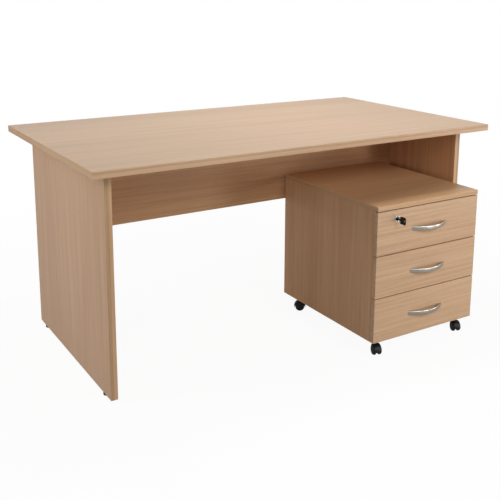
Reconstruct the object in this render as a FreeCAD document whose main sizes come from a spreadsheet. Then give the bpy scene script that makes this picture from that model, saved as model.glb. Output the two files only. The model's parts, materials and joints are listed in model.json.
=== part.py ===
import FreeCAD, Part
import os
import re
import Sketcher

# A panel-end desk with a mobile three-drawer pedestal standing under its right-hand side.
# Millimetres, +Z up, +X to the right of someone sitting at the desk, +Y to the back.
# The origin is on the floor, under the middle of the whole object.

doc = FreeCAD.newDocument("panel_end_desk")
sheet = doc.addObject("Spreadsheet::Sheet", "sizes")

driving_sizes = {
    # Desk boards
    "worktop_length": 1500,
    "worktop_depth": 840,
    "desk_height": 725,
    "worktop_thick": 22,
    "end_panel_thick": 22,
    "modesty_thick": 18,
    "modesty_rise": 430,
    "modesty_setback": 430,
    "side_overhang": 60,
    "front_overhang": 76,
    "back_overhang": 76,
    "edging_thick": 2,
    "edging_round": 1.5,
    # Cam bolts, cam discs and dowels
    "cam_bolt_radius": 3,
    "cam_bolt_bite": 11,
    "cam_bolt_shank": 34,
    "cam_disc_radius": 7.5,
    "cam_disc_depth": 12.5,
    "dowel_radius": 4,
    "dowel_bite": 11,
    "dowel_tail": 20,
    "panel_fitting_inset": 80,
    "modesty_fitting_inset": 50,
    "carcass_dowel_inset": 90,
    "fitting_clearance": 0.1,
    # Levelling feet
    "foot_height": 8,
    "foot_radius": 12.5,
    "foot_chamfer": 1.5,
    "foot_stem_radius": 4,
    "foot_stem_length": 28,
    "foot_inset": 60,
    "insert_wall": 2,
    "insert_length": 13,
    "stem_hole_room": 0.5,
    "running_clearance": 0.05,
    # Pedestal carcass and where it stands
    "pedestal_width": 448,
    "pedestal_depth": 530,
    "pedestal_height": 523,
    "pedestal_lift": 56,
    "pedestal_back_gap": 4,
    "pedestal_side_gap": 65,
    "carcass_thick": 16,
    "carcass_edging": 1,
    "carcass_round": 0.8,
    # Drawer fronts
    "drawer_front_thick": 18,
    "front_round": 1,
    "bumper_gap": 2,
    "front_gap": 3,
    "top_front_height": 147,
    "middle_front_height": 142,
    # Drawer boxes
    "box_height": 95,
    "box_rise": 24,
    "box_wall": 12,
    "box_back_gap": 46,
    "box_bottom_thick": 4,
    "box_bottom_rise": 10,
    "groove_depth": 5,
    "side_clearance": 13,
    # Roller runners
    "runner_steel": 1.2,
    "runner_height": 34,
    "runner_rise": 2,
    "runner_setback": 2,
    "runner_play": 0.8,
    "roller_radius": 10,
    "roller_width": 6.5,
    "roller_gap": 0.3,
    "roller_inset": 20,
    "roller_axle_radius": 2.5,
    "runner_screw_inset": 60,
    "runner_screw_drop": 5.5,
    "rail_screw_rise": 18.5,
    # Screws of the runners, the castor plates and the lock keep
    "screw_head_radius": 3.5,
    "screw_head_thick": 2,
    "screw_shank_radius": 1.5,
    "screw_shank_length": 10,
    # Bow handles
    "handle_length": 152,
    "handle_reach": 28,
    "handle_height": 15,
    "handle_end_height": 9,
    "handle_thick": 5,
    "handle_foot": 16,
    "handle_round": 2,
    "handle_screw_span": 128,
    "handle_screw_radius": 2,
    "handle_screw_bite": 6,
    "handle_screw_head_radius": 4,
    "handle_screw_head_thick": 2.5,
    # Cam lock, its keep and its key
    "lock_inset": 82,
    "lock_drop": 31,
    "lock_barrel_radius": 9.5,
    "lock_ring_radius": 11,
    "lock_ring_thick": 2,
    "lock_tail": 8,
    "lock_plug_radius": 6.5,
    "lock_spigot_radius": 4,
    "tongue_thick": 2.5,
    "tongue_width": 12,
    "tongue_reach": 28,
    "keep_width": 24,
    "keep_drop": 12,
    "keep_steel": 2,
    "keep_foot": 16,
    "key_reach": 40,
    "key_blade_width": 7,
    "key_blade_thick": 2.2,
    "key_blade_depth": 22,
    "key_bow_length": 25,
    "key_bow_height": 25,
    "key_bow_thick": 4,
    "key_bow_round": 5,
    "key_bow_hole_radius": 2.5,
    # Castors
    "castor_inset_side": 40,
    "castor_inset_front": 36,
    "castor_inset_back": 67,
    "castor_trail": 10,
    "wheel_radius": 17,
    "wheel_width": 9.5,
    "wheel_space": 11,
    "wheel_chamfer": 1.5,
    "wheel_round": 5,
    "castor_axle_radius": 3,
    "axle_recess": 1.5,
    "hood_room": 2,
    "hood_wall": 2.5,
    "hood_width": 28,
    "hood_web_thick": 8,
    "hood_web_rise": 7,
    "swivel_boss_radius": 9,
    "swivel_stem_radius": 4,
    "swivel_stem_length": 5,
    "swivel_gap": 0.3,
    "castor_plate_size": 32,
    "castor_plate_thick": 2.5,
    "plate_boss_radius": 11,
    "plate_boss_height": 6,
    "plate_screw_inset": 5,
    # One overrun serves every cut
    "cut_overrun": 5,
}

# The turn of each castor about its swivel, in degrees, 0 with the wheels trailing to the front
castor_turns = {"front_left": -18, "front_right": -20, "back_left": -124, "back_right": 35}

# Places that several pieces share, worked out from the driving sizes
shared_places = {
    "pedestal_lead": "pedestal_depth + pedestal_back_gap - modesty_setback",
    "worktop_front": "(pedestal_lead + key_reach - worktop_depth) / 2",
    "worktop_back": "worktop_front + worktop_depth",
    "worktop_underside": "desk_height - worktop_thick",
    "panel_front": "worktop_front + front_overhang",
    "panel_depth": "worktop_depth - front_overhang - back_overhang",
    "panel_height": "worktop_underside - foot_height",
    "panel_inner": "worktop_length / 2 - side_overhang - end_panel_thick",
    "modesty_front": "worktop_front + modesty_setback",
    "modesty_height": "worktop_underside - modesty_rise",
    "drawer_face": "worktop_front - pedestal_lead",
    "front_rear": "drawer_face + drawer_front_thick",
    "carcass_front": "front_rear + bumper_gap",
    "pedestal_rear": "drawer_face + pedestal_depth",
    "pedestal_right": "panel_inner - pedestal_side_gap",
    "pedestal_left": "pedestal_right - pedestal_width",
    "pedestal_middle": "pedestal_right - pedestal_width / 2",
    "carcass_half": "pedestal_width / 2 - carcass_thick",
    "top_underside": "pedestal_height - carcass_thick",
    "top_front_bottom": "top_underside - front_gap - top_front_height",
    "middle_front_bottom": "top_front_bottom - front_gap - middle_front_height",
    "bottom_front_height": "middle_front_bottom - front_gap - pedestal_lift",
    "box_half": "carcass_half - side_clearance",
    "box_length": "pedestal_rear - carcass_thick - front_rear - box_back_gap",
    "runner_front": "carcass_front + runner_setback",
    "lock_x": "pedestal_left + lock_inset",
    "lock_z": "top_underside - front_gap - lock_drop",
    "lock_end": "front_rear + lock_tail",
    "hood_inner": "wheel_radius + hood_room",
    "hood_outer": "hood_inner + hood_wall",
    "castor_width": "wheel_space + 2 * wheel_width",
    "plate_bottom": "pedestal_lift - castor_plate_thick",
    "hood_top": "plate_bottom - plate_boss_height - swivel_gap",
}

for row, (alias, value) in enumerate([*driving_sizes.items(), *shared_places.items()], start=1):
    formula = str(value) if alias in driving_sizes else "=" + value
    sheet.set(f"A{row}", alias)
    sheet.setAlias(f"B{row}", alias)
    sheet.set(f"B{row}", formula)
doc.recompute()

aliases = {*driving_sizes, *shared_places}
jotter = doc.addObject("Spreadsheet::Sheet", "jotter")
jotter_cell = "A1"
pieces = []


def sized(text):
    """A formula with each alias in it pointed at the sheet of sizes."""
    return re.sub(r"[a-z_]+", lambda m: "sizes." + m[0] if m[0] in aliases else m[0], text)


def number(text):
    """The present value of a formula, worked out in a sheet that nothing else reads."""
    jotter.set(jotter_cell, "=" + sized(text))
    jotter.recompute()
    return float(jotter.get(jotter_cell))


def bind(thing, **formulas):
    """Ties properties of an object to formulas in the sheet's sizes."""
    for name, text in formulas.items():
        thing.setExpression(name.replace("__", "."), sized(text))
    return thing


def place(thing, x, y, z):
    """Puts an object's own origin at a point."""
    return bind(thing, Placement__Base__x=x, Placement__Base__y=y, Placement__Base__z=z)


# Turns that lay a piece's own +Z along the named axis
turns = {
    "x": FreeCAD.Rotation(FreeCAD.Vector(1, 1, 1), 120),
    "y": FreeCAD.Rotation(FreeCAD.Vector(1, 0, 0), -90),
    "z": FreeCAD.Rotation(),
}


def block(label, size, corner):
    """A box, from its three sizes and its lowest corner."""
    box = doc.addObject("Part::Box", label)
    bind(box, Length=size[0], Width=size[1], Height=size[2])
    return place(box, *corner)


def rod(label, axis, radius, length, start, sweep=None):
    """A round bar along an axis, from the middle of its first end."""
    bar = doc.addObject("Part::Cylinder", label)
    bar.Placement.Rotation = turns[axis]
    bind(bar, Radius=radius, Height=length)
    if sweep:
        bar.Angle = sweep
    return place(bar, *start)


def group(label, members):
    """Separate solids that share one object."""
    together = doc.addObject("Part::Compound", label)
    together.Links = members
    return together


def fuse(label, members):
    joined = doc.addObject("Part::MultiFuse", label)
    joined.Shapes = members
    return joined


def common(label, first, second):
    """The space that two objects share."""
    shared = doc.addObject("Part::Common", label)
    shared.Base = first
    shared.Tool = second
    return shared


def cut(label, base, tools):
    """The base with every tool's space taken out of it."""
    pared = doc.addObject("Part::Cut", label)
    pared.Base = base
    pared.Tool = tools[0] if len(tools) == 1 else group(label + "_tools", tools)
    return pared


def rounded(label, base, radius, choose):
    """The base with a fillet on each edge that choose picks."""
    doc.recompute()
    fillet = doc.addObject("Part::Fillet", label)
    fillet.Base = base
    size = number(radius)
    fillet.Edges = [(i, size, size) for i, edge in enumerate(base.Shape.Edges, 1) if choose(base, edge)]
    return fillet


def on_side(side, along):
    """Chooses the straight edges that run along one axis on one side of a box, such as "-y"."""
    order = {"x": 0, "y": 1, "z": 2}
    bounds = {"-": ("XMin", "YMin", "ZMin"), "+": ("XMax", "YMax", "ZMax")}

    def choose(base, edge):
        limit = getattr(base.Shape.BoundBox, bounds[side[0]][order[side[1]]])
        first, last = edge.Vertexes[0].Point, edge.Vertexes[-1].Point
        same = all(abs(p[order[side[1]]] - limit) < Part.Precision.approximation() for p in (first, last))
        run = last - first
        return same and abs(run[order[along]]) > run.Length / 2

    return choose


def all_round(side):
    """Chooses all four edges of one side of a box."""
    others = [axis for axis in "xyz" if axis != side[1]]
    pickers = [on_side(side, axis) for axis in others]
    return lambda base, edge: any(pick(base, edge) for pick in pickers)


def keep(thing, label=None):
    """Adds an object to the pieces that are written out, under its own label."""
    if label:
        thing.Label = label
    pieces.append(thing)
    return thing


def origin_plane(body, role):
    return next(f for f in body.Origin.OriginFeatures if f.Role == role)


def outline(body, name, plane, corners):
    """A closed sketch of straight lines whose corners are formulas."""
    sketch = body.newObject("Sketcher::SketchObject", name)
    sketch.AttachmentSupport = [(origin_plane(body, plane), "")]
    sketch.MapMode = "FlatFace"
    points = [FreeCAD.Vector(number(x), number(y), 0) for x, y in corners]
    following = points[1:] + points[:1]
    sketch.addGeometry([Part.LineSegment(a, b) for a, b in zip(points, following)])
    for i, (point, corner) in enumerate(zip(points, corners)):
        sketch.addConstraint(Sketcher.Constraint("Coincident", i, 2, (i + 1) % len(points), 1))
        for kind, value, text, axis in zip(("DistanceX", "DistanceY"), point, corner, (-2, -1)):
            if text == "0":
                sketch.addConstraint(Sketcher.Constraint("PointOnObject", i, 1, axis))
            else:
                at = sketch.addConstraint(Sketcher.Constraint(kind, -1, 1, i, 1, value))
                bind(sketch, **{f"Constraints[{at}]": text})
    return sketch


def turned(label, profile):
    """A body turned about its own Z, from a profile of radii and heights."""
    body = doc.addObject("PartDesign::Body", label)
    sketch = outline(body, label + "_profile", "XZ_Plane", profile)
    turning = body.newObject("PartDesign::Revolution", label + "_turning")
    turning.Profile = sketch
    turning.ReferenceAxis = (sketch, ["V_Axis"])
    turning.Angle = 360
    return body


def pressed(label, plane, corners, depth, backwards=False):
    """A body pushed out of a flat outline."""
    body = doc.addObject("PartDesign::Body", label)
    sketch = outline(body, label + "_outline", plane, corners)
    pad = body.newObject("PartDesign::Pad", label + "_pad")
    pad.Profile = sketch
    pad.Reversed = backwards
    bind(pad, Length=depth)
    return body


def hole_for(label, axis, radius, length, start):
    """The drilled space round a fitting, a little wider and longer than the fitting."""
    begin = [f"{s} - fitting_clearance" if a == axis else s for a, s in zip("xyz", start)]
    return rod(label, axis, f"{radius} + fitting_clearance", f"{length} + 2 * fitting_clearance", begin)


def screw(label, axis, start, inwards):
    """A round-headed screw that enters a face at start and goes inwards (1 or -1) along its axis."""
    spot = dict(zip("xyz", start))
    head_at = dict(spot)
    shank_at = dict(spot)
    if inwards > 0:
        head_at[axis] = f"{spot[axis]} - screw_head_thick"
    else:
        shank_at[axis] = f"{spot[axis]} - screw_shank_length"
    head = rod(label + "_head", axis, "screw_head_radius", "screw_head_thick", head_at.values())
    shank = rod(label + "_shank", axis, "screw_shank_radius", "screw_shank_length", shank_at.values())
    shank_start = [*shank_at.values()]
    pilot = hole_for(label + "_pilot", axis, "screw_shank_radius", "screw_shank_length", shank_start)
    return fuse(label, [head, shank]), pilot


# The sides are written as a sign of X and a name
sides = ((-1, "left"), (1, "right"))

# Cam bolts and dowels between the worktop and the end panels

cam_bolts = []
cam_discs = []
desk_dowels = []
worktop_holes = []
panel_holes = {"left": [], "right": []}
modesty_holes = []

bolt_length = "cam_bolt_bite + cam_bolt_shank"
dowel_length = "dowel_bite + dowel_tail"
panel_bolt_places = (
    "panel_front + panel_fitting_inset",
    "panel_front + panel_depth / 2",
    "panel_front + panel_depth - panel_fitting_inset",
)
panel_dowel_places = (
    "panel_front + panel_fitting_inset / 2 + panel_depth / 4",
    "panel_front - panel_fitting_inset / 2 + panel_depth * 3 / 4",
)

for sign, side in sides:
    middle = f"{sign} * (panel_inner + end_panel_thick / 2)"
    disc_x = "panel_inner" if sign > 0 else "0 - panel_inner - cam_disc_depth"
    for i, y in enumerate(panel_bolt_places):
        name = f"worktop_bolt_{side}_{i}"
        start = (middle, y, "worktop_underside - cam_bolt_shank")
        bolt = rod(name, "z", "cam_bolt_radius", bolt_length, start)
        hole = hole_for(name + "_hole", "z", "cam_bolt_radius", bolt_length, start)
        disc_start = (disc_x, y, "worktop_underside - cam_bolt_shank")
        disc = rod(name + "_disc", "x", "cam_disc_radius", "cam_disc_depth", disc_start)
        pocket = hole_for(name + "_pocket", "x", "cam_disc_radius", "cam_disc_depth", disc_start)
        cam_bolts.append(bolt)
        cam_discs.append(cut(name + "_cam", disc, [hole]))
        worktop_holes.append(hole)
        panel_holes[side] += [hole, pocket]
    for i, y in enumerate(panel_dowel_places):
        name = f"worktop_dowel_{side}_{i}"
        start = (middle, y, "worktop_underside - dowel_tail")
        hole = hole_for(name + "_hole", "z", "dowel_radius", dowel_length, start)
        desk_dowels.append(rod(name, "z", "dowel_radius", dowel_length, start))
        worktop_holes.append(hole)
        panel_holes[side].append(hole)

# Cam bolts and dowels between the modesty panel and the end panels

modesty_middle = "modesty_front + modesty_thick / 2"
modesty_bolt_heights = (
    "modesty_rise + modesty_fitting_inset",
    "worktop_underside - modesty_fitting_inset",
)

for sign, side in sides:
    bolt_x = "panel_inner - cam_bolt_shank" if sign > 0 else "0 - panel_inner - cam_bolt_bite"
    dowel_x = "panel_inner - dowel_tail" if sign > 0 else "0 - panel_inner - dowel_bite"
    for i, z in enumerate(modesty_bolt_heights):
        name = f"modesty_bolt_{side}_{i}"
        start = (bolt_x, modesty_middle, z)
        bolt = rod(name, "x", "cam_bolt_radius", bolt_length, start)
        hole = hole_for(name + "_hole", "x", "cam_bolt_radius", bolt_length, start)
        disc_y = "modesty_front + modesty_thick - cam_disc_depth"
        disc_start = (f"{sign} * (panel_inner - cam_bolt_shank)", disc_y, z)
        disc = rod(name + "_disc", "y", "cam_disc_radius", "cam_disc_depth", disc_start)
        pocket = hole_for(name + "_pocket", "y", "cam_disc_radius", "cam_disc_depth", disc_start)
        cam_bolts.append(bolt)
        cam_discs.append(cut(name + "_cam", disc, [hole]))
        panel_holes[side].append(hole)
        modesty_holes += [hole, pocket]
    name = f"modesty_dowel_{side}"
    start = (dowel_x, modesty_middle, "worktop_underside - modesty_height / 2")
    hole = hole_for(name + "_hole", "x", "dowel_radius", dowel_length, start)
    desk_dowels.append(rod(name, "x", "dowel_radius", dowel_length, start))
    panel_holes[side].append(hole)
    modesty_holes.append(hole)

# Levelling feet, each screwed into a threaded insert in the bottom of an end panel

foot_profile = (
    ("0", "0"),
    ("foot_radius - foot_chamfer", "0"),
    ("foot_radius", "foot_chamfer"),
    ("foot_radius", "foot_height - foot_chamfer"),
    ("foot_radius - foot_chamfer", "foot_height"),
    ("foot_stem_radius", "foot_height"),
    ("foot_stem_radius", "foot_height + foot_stem_length"),
    ("0", "foot_height + foot_stem_length"),
)
insert_radius = "foot_stem_radius + insert_wall"
foot_places = (
    ("front", "panel_front + foot_inset"),
    ("back", "panel_front + panel_depth - foot_inset"),
)
foot_inserts = []

for sign, side in sides:
    x = f"{sign} * (panel_inner + end_panel_thick / 2)"
    for end, y in foot_places:
        name = f"levelling_foot_{end}_{side}"
        keep(place(turned(name, foot_profile), x, y, "0"))
        start = (x, y, "foot_height")
        bore_radius = "foot_stem_radius + running_clearance"
        bore = rod(name + "_bore", "z", bore_radius, "insert_length", start)
        sleeve = rod(name + "_sleeve", "z", insert_radius, "insert_length", start)
        foot_inserts.append(cut(name + "_insert", sleeve, [bore]))
        socket = hole_for(name + "_socket", "z", insert_radius, "insert_length", start)
        stem_radius = "foot_stem_radius + stem_hole_room"
        stem_length = "foot_stem_length + stem_hole_room"
        stem_hole = rod(name + "_stem_hole", "z", stem_radius, stem_length, start)
        panel_holes[side] += [socket, stem_hole]

# Desk boards

worktop_core = block(
    "worktop_core",
    ("worktop_length - 2 * edging_thick", "worktop_depth - 2 * edging_thick", "worktop_thick"),
    ("edging_thick - worktop_length / 2", "worktop_front + edging_thick", "worktop_underside"),
)
keep(cut("worktop", worktop_core, worktop_holes))

for sign, side in sides:
    panel_x = "panel_inner" if sign > 0 else "0 - panel_inner - end_panel_thick"
    core = block(
        f"{side}_panel_core",
        ("end_panel_thick", "panel_depth - 2 * edging_thick", "panel_height"),
        (panel_x, "panel_front + edging_thick", "foot_height"),
    )
    keep(cut(f"{side}_end_panel", core, panel_holes[side]))

modesty_core = block(
    "modesty_core",
    ("2 * panel_inner", "modesty_thick", "modesty_height - edging_thick"),
    ("0 - panel_inner", "modesty_front", "modesty_rise + edging_thick"),
)
keep(cut("modesty_panel", modesty_core, modesty_holes))

# Edging strips, rounded on their outer arrises

desk_strips = []


def strip(name, size, corner, radius, side, along):
    """One edging strip, with the long outer edges of one side rounded."""
    return rounded(name, block(name + "_flat", size, corner), radius, on_side(side, along))


for side, y in (("-y", "worktop_front"), ("+y", "worktop_back - edging_thick")):
    size = ("worktop_length", "edging_thick", "worktop_thick")
    corner = ("0 - worktop_length / 2", y, "worktop_underside")
    name = "worktop_strip_front" if side == "-y" else "worktop_strip_back"
    desk_strips.append(strip(name, size, corner, "edging_round", side, "x"))
for side, x in (("-x", "0 - worktop_length / 2"), ("+x", "worktop_length / 2 - edging_thick")):
    size = ("edging_thick", "worktop_depth - 2 * edging_thick", "worktop_thick")
    corner = (x, "worktop_front + edging_thick", "worktop_underside")
    name = "worktop_strip_left" if side == "-x" else "worktop_strip_right"
    desk_strips.append(strip(name, size, corner, "edging_round", side, "y"))
for sign, side_name in sides:
    x = "panel_inner" if sign > 0 else "0 - panel_inner - end_panel_thick"
    for side, y in (("-y", "panel_front"), ("+y", "panel_front + panel_depth - edging_thick")):
        size = ("end_panel_thick", "edging_thick", "panel_height")
        end = "front" if side == "-y" else "back"
        name = f"{side_name}_panel_strip_{end}"
        desk_strips.append(strip(name, size, (x, y, "foot_height"), "edging_round", side, "z"))
size = ("2 * panel_inner", "modesty_thick", "edging_thick")
corner = ("0 - panel_inner", "modesty_front", "modesty_rise")
desk_strips.append(strip("modesty_strip", size, corner, "edging_round", "-z", "x"))

keep(group("desk_edging", desk_strips))
keep(group("desk_cam_bolts", cam_bolts))
keep(group("desk_cam_discs", cam_discs))
keep(group("desk_dowels", desk_dowels))
keep(group("foot_inserts", foot_inserts))

# Dowels of the pedestal's carcass

carcass_dowels = []
top_holes = []
side_holes = {"left": [], "right": []}
base_holes = []
back_holes = []
carcass_screws = []

carcass_dowel_places = (
    "carcass_front + carcass_dowel_inset",
    "(carcass_front + pedestal_rear - carcass_thick) / 2",
    "pedestal_rear - carcass_thick - carcass_dowel_inset",
)
back_dowel_heights = (
    "pedestal_lift + carcass_thick + carcass_dowel_inset",
    "top_underside - carcass_dowel_inset",
)

for sign, side in sides:
    side_middle = f"pedestal_middle + {sign} * (carcass_half + carcass_thick / 2)"
    if sign > 0:
        across = "pedestal_middle + carcass_half - dowel_tail"
    else:
        across = "pedestal_middle - carcass_half - dowel_bite"
    for i, y in enumerate(carcass_dowel_places):
        upright = (side_middle, y, "top_underside - dowel_tail")
        flat = (across, y, "pedestal_lift + carcass_thick / 2")
        for axis, start, holes in (("z", upright, top_holes), ("x", flat, base_holes)):
            name = f"carcass_dowel_{axis}_{side}_{i}"
            hole = hole_for(name + "_hole", axis, "dowel_radius", dowel_length, start)
            carcass_dowels.append(rod(name, axis, "dowel_radius", dowel_length, start))
            side_holes[side].append(hole)
            holes.append(hole)
    for i, z in enumerate(back_dowel_heights):
        name = f"carcass_dowel_back_{side}_{i}"
        start = (across, "pedestal_rear - carcass_thick / 2", z)
        hole = hole_for(name + "_hole", "x", "dowel_radius", dowel_length, start)
        carcass_dowels.append(rod(name, "x", "dowel_radius", dowel_length, start))
        side_holes[side].append(hole)
        back_holes.append(hole)

# Drawers: a front, a folded box, a bottom, two runner members, two rear rollers, a handle and screws

drawers = (
    ("top", "top_front_bottom", "top_front_height"),
    ("middle", "middle_front_bottom", "middle_front_height"),
    ("bottom", "pedestal_lift", "bottom_front_height"),
)
cabinet_runners = []


def handle(name, z):
    """A bow handle: a crescent between two arcs, lower at its ends, with its long edges rounded."""
    body = doc.addObject("PartDesign::Body", name + "_bow")
    sketch = body.newObject("Sketcher::SketchObject", name + "_bow_outline")
    sketch.AttachmentSupport = [(origin_plane(body, "XY_Plane"), "")]
    sketch.MapMode = "FlatFace"
    chords = ("handle_length / 2", "handle_length / 2 - handle_foot")
    reaches = ("handle_reach", "handle_reach - handle_thick")
    ends = []
    for chord, reach in zip(chords, reaches):
        half, bulge = number(chord), number(reach)
        left, right = FreeCAD.Vector(-half, 0, 0), FreeCAD.Vector(half, 0, 0)
        sketch.addGeometry(Part.Arc(left, FreeCAD.Vector(0, -bulge, 0), right))
        ends.append((left, right))
    sketch.addGeometry(Part.LineSegment(ends[0][0], ends[1][0]))
    sketch.addGeometry(Part.LineSegment(ends[1][1], ends[0][1]))
    for arc, (chord, reach) in enumerate(zip(chords, reaches)):
        for point in (1, 2):
            sketch.addConstraint(Sketcher.Constraint("PointOnObject", arc, point, -1))
        sketch.addConstraint(Sketcher.Constraint("Symmetric", arc, 1, arc, 2, -2))
        span = sketch.addConstraint(Sketcher.Constraint("DistanceX", arc, 1, arc, 2, 2 * number(chord)))
        bind(sketch, **{f"Constraints[{span}]": f"2 * ({chord})"})
        radius_text = f"(({chord})^2 + ({reach})^2) / (2 * ({reach}))"
        radius = sketch.addConstraint(Sketcher.Constraint("Radius", arc, number(radius_text)))
        bind(sketch, **{f"Constraints[{radius}]": radius_text})
    for first, second in (((0, 1), (2, 1)), ((1, 1), (2, 2)), ((1, 2), (3, 1)), ((0, 2), (3, 2))):
        sketch.addConstraint(Sketcher.Constraint("Coincident", *first, *second))
    pad = body.newObject("PartDesign::Pad", name + "_bow_pad")
    pad.Profile = sketch
    bind(pad, Length="handle_height")
    place(body, "pedestal_middle", "drawer_face", f"{z} - handle_height / 2")

    # Two wide cylinders, one bulging up and one down, take the height down towards the ends
    drop = "((handle_height - handle_end_height) / 2)"
    sweep_radius = f"((handle_length / 2)^2 + {drop}^2) / (2 * {drop})"
    depth = "handle_reach + 2 * cut_overrun"
    start_y = "drawer_face - handle_reach - cut_overrun"
    halves = []
    for sign, bulge in ((-1, "up"), (1, "down")):
        centre_z = f"{z} + {sign} * ({sweep_radius} - handle_height / 2)"
        start = ("pedestal_middle", start_y, centre_z)
        halves.append(rod(f"{name}_bow_{bulge}", "y", sweep_radius, depth, start))
    lens = common(name + "_bow_lens", *halves)
    tapered = common(name + "_bow_tapered", body, lens)
    long_edge = number("handle_length") / 2
    return rounded(name + "_bow_soft", tapered, "handle_round", lambda base, edge: edge.Length > long_edge)


for drawer, front_bottom, front_height in drawers:
    name = "drawer_" + drawer
    front_middle = f"({front_bottom} + {front_height} / 2)"
    box_bottom = f"({front_bottom} + box_rise)"
    flange_bottom = f"({box_bottom} + runner_rise)"
    roller_z = f"({flange_bottom} + runner_steel + roller_gap + roller_radius)"
    rest_z = f"({roller_z} + roller_radius + roller_gap)"
    drawer_screws = []
    front_holes = []
    handle_holes = []
    box_holes = []

    # Handle screws come through the front from inside the drawer
    for sign, side in sides:
        label = f"{name}_handle_screw_{side}"
        x = f"pedestal_middle + {sign} * handle_screw_span / 2"
        shank_start = (x, "drawer_face - handle_screw_bite", front_middle)
        shank_length = "drawer_front_thick + handle_screw_bite"
        shank = rod(label + "_shank", "y", "handle_screw_radius", shank_length, shank_start)
        head_start = (x, "front_rear", front_middle)
        head = rod(label + "_head", "y", "handle_screw_head_radius", "handle_screw_head_thick", head_start)
        hole = hole_for(label + "_hole", "y", "handle_screw_radius", shank_length, shank_start)
        drawer_screws.append(fuse(label, [head, shank]))
        front_holes.append(hole)
        handle_holes.append(hole)

    # Runner members: the cabinet's channel with its front roller, the drawer's rail with its rear roller
    drawer_rails = []
    front_rollers = []
    rear_rollers = []
    for sign, side in sides:
        label = f"{name}_{side}"

        def span(offset, width):
            """The low X of something that lies between the carcass side and the drawer box."""
            if sign < 0:
                return f"pedestal_middle - carcass_half + ({offset})"
            return f"pedestal_middle + carcass_half - ({offset}) - ({width})"

        web = block(
            label + "_channel_web",
            ("runner_steel", "box_length", "runner_height"),
            (span("0", "runner_steel"), "runner_front", flange_bottom),
        )
        shelf_width = "side_clearance - runner_play - 2 * runner_steel"
        shelf = block(
            label + "_channel_shelf",
            (shelf_width, "box_length", "runner_steel"),
            (span("runner_steel", shelf_width), "runner_front", flange_bottom),
        )
        front_roller_x = span("runner_steel + runner_play", "roller_width")
        front_roller_y = "runner_front + roller_inset"
        pin_length = "2 * runner_play + roller_width"
        pin_start = (span("runner_steel", pin_length), front_roller_y, roller_z)
        pin = rod(label + "_channel_pin", "x", "roller_axle_radius", pin_length, pin_start)
        channel = fuse(label + "_channel_whole", [web, shelf, pin])

        channel_holes = []
        channel_screw_x = span("runner_steel", "0")
        channel_screw_z = f"{flange_bottom} + runner_height - runner_screw_drop"
        for i, y in enumerate(
            (
                "runner_front + runner_screw_inset",
                "runner_front + box_length / 2",
                "runner_front + box_length - runner_screw_inset",
            )
        ):
            start = (channel_screw_x, y, channel_screw_z)
            fixing, pilot = screw(f"{label}_channel_screw_{i}", "x", start, sign)
            carcass_screws.append(fixing)
            channel_holes.append(pilot)
        side_holes[side] += channel_holes
        cabinet_runners.append(cut(label + "_channel", channel, channel_holes))

        rail_web = block(
            label + "_rail_web",
            ("runner_steel", "box_length", f"{rest_z} + runner_steel - {box_bottom}"),
            (span("side_clearance - runner_steel", "runner_steel"), "front_rear", box_bottom),
        )
        ledge_width = "side_clearance - runner_play - 2 * runner_steel"
        ledge = block(
            label + "_rail_ledge",
            (ledge_width, "box_length", "runner_steel"),
            (span("runner_steel + runner_play", ledge_width), "front_rear", rest_z),
        )
        rear_roller_y = "front_rear + box_length - roller_inset"
        rear_pin_offset = f"side_clearance - runner_steel - ({pin_length})"
        rear_pin_start = (span(rear_pin_offset, pin_length), rear_roller_y, roller_z)
        rear_pin = rod(label + "_rail_pin", "x", "roller_axle_radius", pin_length, rear_pin_start)
        rail = fuse(label + "_rail_whole", [rail_web, ledge, rear_pin])
        rail_holes = []
        rail_screw_x = span("side_clearance - runner_steel", "0")
        for i, y in enumerate(
            ("front_rear + runner_screw_inset", "front_rear + box_length - 2 * runner_screw_inset")
        ):
            start = (rail_screw_x, y, f"{box_bottom} + rail_screw_rise")
            fixing, pilot = screw(f"{label}_rail_screw_{i}", "x", start, -sign)
            drawer_screws.append(fixing)
            rail_holes.append(pilot)
        box_holes += rail_holes
        drawer_rails.append(cut(label + "_rail", rail, rail_holes))

        bore_radius = "roller_axle_radius + running_clearance"
        rear_roller_offset = "side_clearance - runner_steel - runner_play - roller_width"
        for kind, x, y, rollers in (
            ("front_roller", front_roller_x, front_roller_y, front_rollers),
            ("rear_roller", span(rear_roller_offset, "roller_width"), rear_roller_y, rear_rollers),
        ):
            start = (x, y, roller_z)
            tread = rod(f"{label}_{kind}_tread", "x", "roller_radius", "roller_width", start)
            bore = rod(f"{label}_{kind}_bore", "x", bore_radius, "roller_width", start)
            rollers.append(cut(f"{label}_{kind}", tread, [bore]))

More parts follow.
